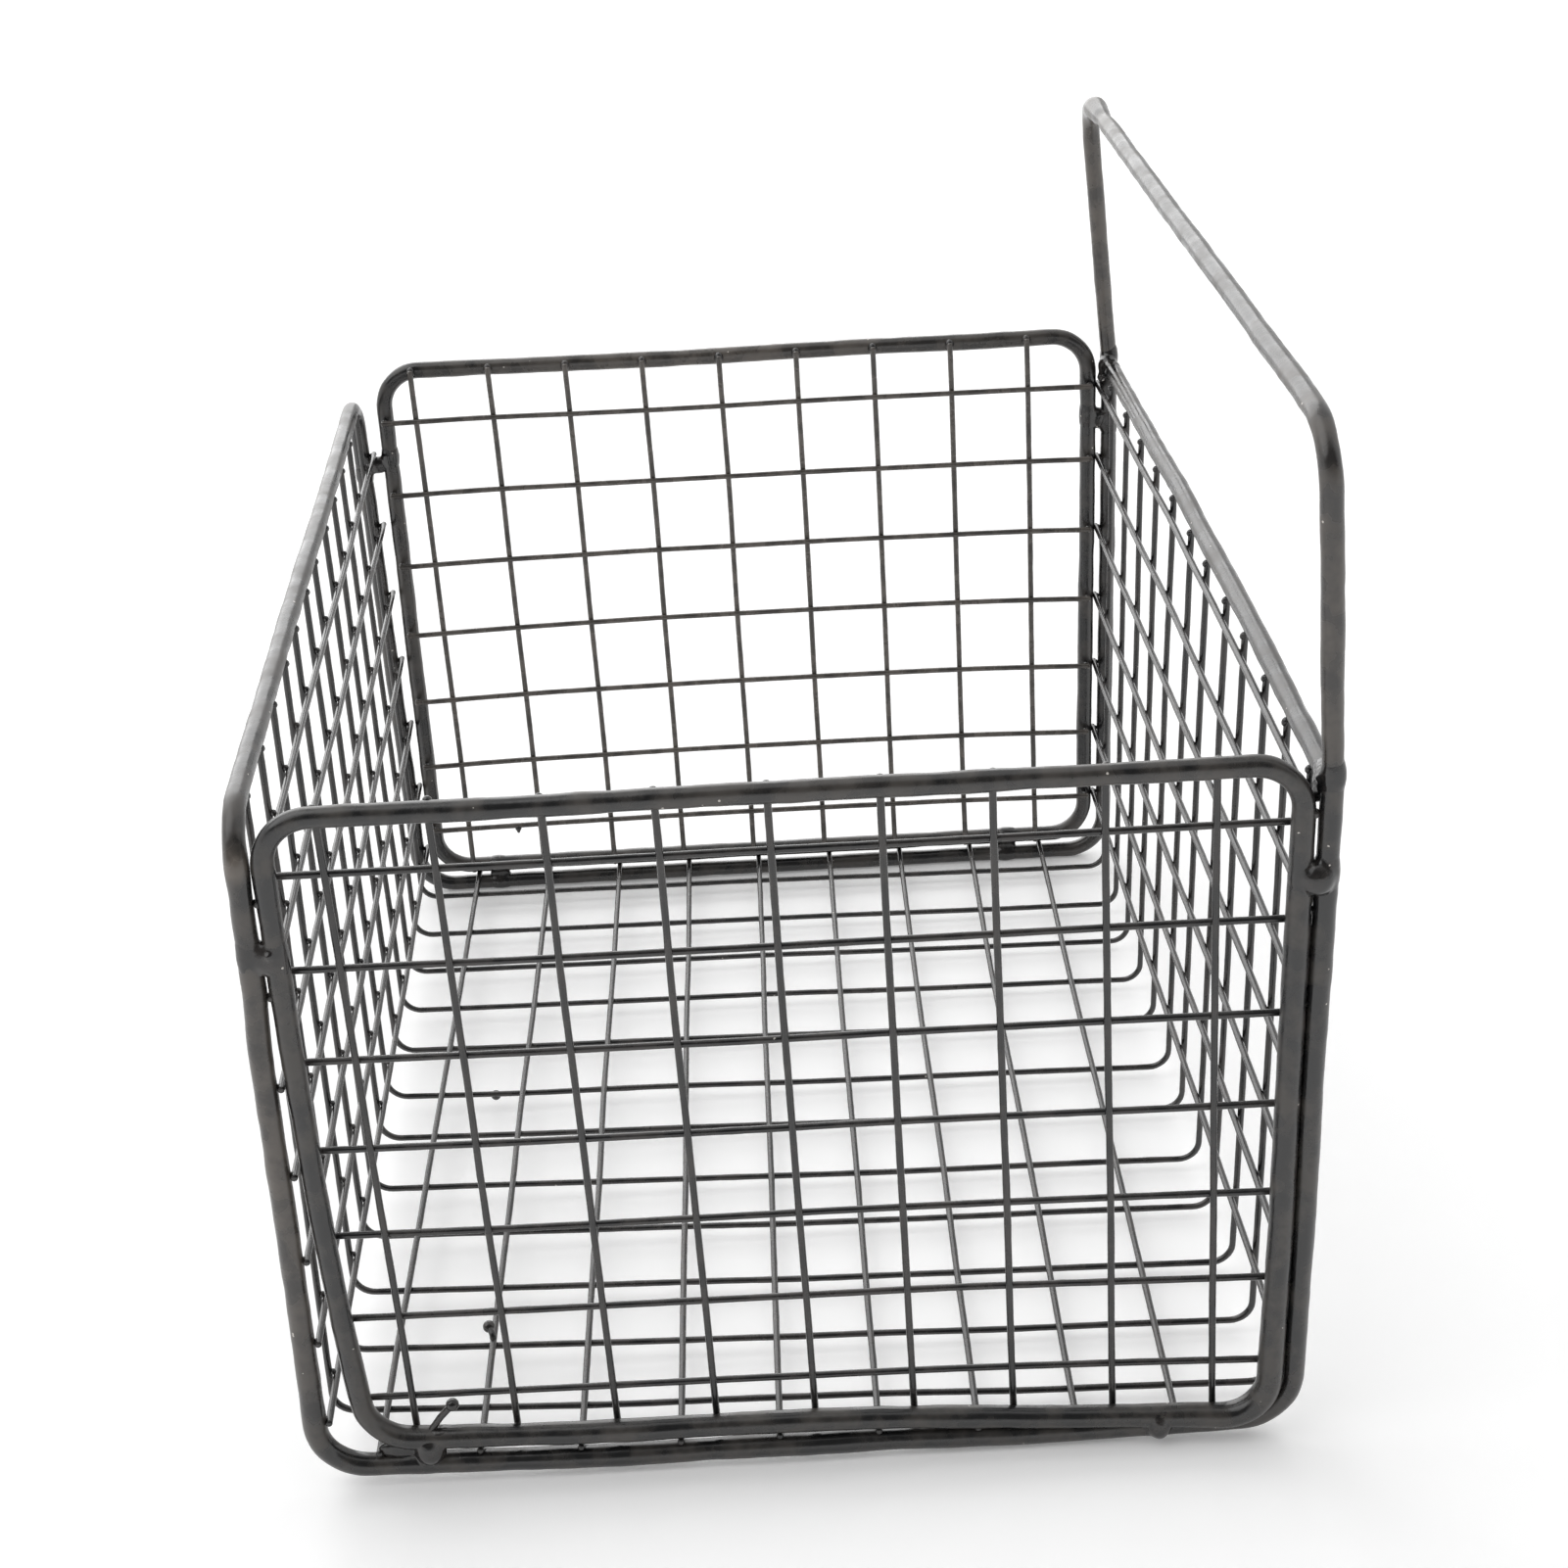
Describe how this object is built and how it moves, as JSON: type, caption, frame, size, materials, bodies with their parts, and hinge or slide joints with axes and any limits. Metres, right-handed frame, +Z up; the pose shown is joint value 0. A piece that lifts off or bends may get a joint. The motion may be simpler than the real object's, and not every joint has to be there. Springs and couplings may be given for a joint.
{
  "type": "wall basket",
  "caption": "Rectangular open-top wire mesh basket in a bent rod frame, with a hanging loop standing on its back edge.",
  "frame": {"origin": "on the ground plane under the middle of the basket's body, at the bottom centre of the whole box", "axes": "+X along the basket, parallel to the wall; +Y towards the wall, the side with the hanging loop; +Z up"},
  "size_m": [0.319, 0.2532, 0.2742],
  "materials": {
    "painted_rod": "black dip or powder coat on steel rod, semi-gloss, slightly uneven",
    "painted_wire": "black dip or powder coat on thin steel wire, semi-gloss",
    "painted_weld": "black coat over rough weld metal, lumpy semi-gloss"
  },
  "bodies": {
    "root": {"body_rod": "painted_rod", "back_rail": "painted_rod", "hanging_loop": "painted_rod", "near_panel_frame": "painted_rod", "far_panel_frame": "painted_rod", "near_panel_mesh": "painted_wire", "far_panel_mesh": "painted_wire", "u_wire_01": "painted_wire", "u_wire_02": "painted_wire", "u_wire_03": "painted_wire", "u_wire_04": "painted_wire", "u_wire_05": "painted_wire", "u_wire_06": "painted_wire", "u_wire_07": "painted_wire", "u_wire_08": "painted_wire", "u_wire_09": "painted_wire", "u_wire_10": "painted_wire", "u_wire_11": "painted_wire", "u_wire_12": "painted_wire", "floor_wire_01": "painted_wire", "floor_wire_02": "painted_wire", "floor_wire_03": "painted_wire", "floor_wire_04": "painted_wire", "floor_wire_05": "painted_wire", "floor_wire_06": "painted_wire", "floor_wire_07": "painted_wire", "floor_wire_08": "painted_wire", "floor_wire_09": "painted_wire", "front_wall_wire_01": "painted_wire", "front_wall_wire_02": "painted_wire", "front_wall_wire_03": "painted_wire", "front_wall_wire_04": "painted_wire", "front_wall_wire_05": "painted_wire", "front_wall_wire_06": "painted_wire", "front_wall_wire_07": "painted_wire", "back_wall_wire_01": "painted_wire", "back_wall_wire_02": "painted_wire", "back_wall_wire_03": "painted_wire", "back_wall_wire_04": "painted_wire", "back_wall_wire_05": "painted_wire", "back_wall_wire_06": "painted_wire", "back_wall_wire_07": "painted_wire", "near_front_bead": "painted_weld", "near_back_bead": "painted_weld", "far_front_bead": "painted_weld", "far_back_bead": "painted_weld", "near_bottom_front_bead": "painted_weld", "near_bottom_back_bead": "painted_weld", "far_bottom_front_bead": "painted_weld", "far_bottom_back_bead": "painted_weld", "near_weld_collar": "painted_weld", "far_weld_collar": "painted_weld"}
  },
  "joints": []
}
